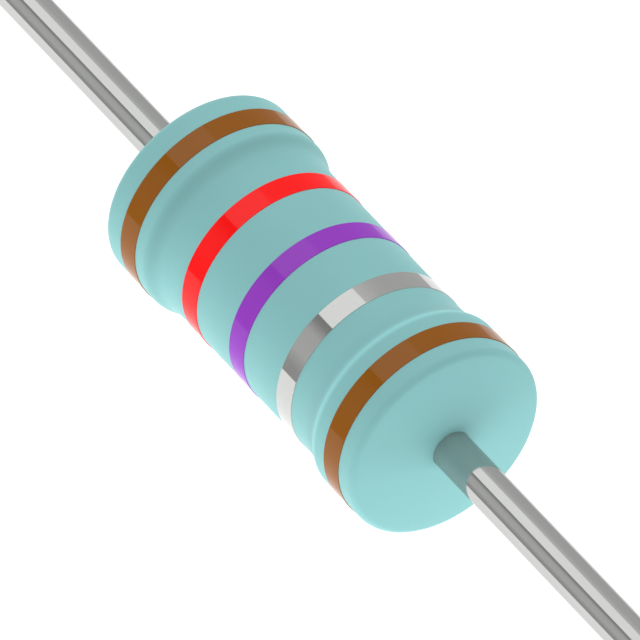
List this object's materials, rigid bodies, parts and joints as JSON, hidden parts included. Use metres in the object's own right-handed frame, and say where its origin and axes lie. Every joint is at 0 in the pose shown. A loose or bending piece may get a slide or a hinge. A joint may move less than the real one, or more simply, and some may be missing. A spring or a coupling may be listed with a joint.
{
  "type": "axial resistor",
  "caption": "Through-hole film resistor with a dog-bone lacquered body, a colour code in painted bands and a straight tinned wire lead at each end.",
  "frame": {"origin": "on the axis, midway between the body's two ends, which is also the centre of the whole part's box", "axes": "+X along the axis, from the end where the colour code starts towards the tolerance band; Y and Z across it"},
  "size_m": [0.026, 0.0032, 0.0032],
  "materials": {
    "rod_ceramic": "matte",
    "film_metal": "satin",
    "cap_steel": "satin",
    "tinned_wire": "gloss",
    "lacquer": "satin",
    "brown_paint": "gloss",
    "red_paint": "gloss",
    "violet_paint": "gloss",
    "silver_paint": "gloss"
  },
  "bodies": {
    "root": {"ceramic_core": "rod_ceramic", "resistive_film": "film_metal", "left_end_cap": "cap_steel", "right_end_cap": "cap_steel", "left_lead": "tinned_wire", "right_lead": "tinned_wire", "coating": "lacquer", "first_digit_band": "brown_paint", "second_digit_band": "red_paint", "third_digit_band": "violet_paint", "multiplier_band": "silver_paint", "tolerance_band": "brown_paint"}
  },
  "joints": []
}
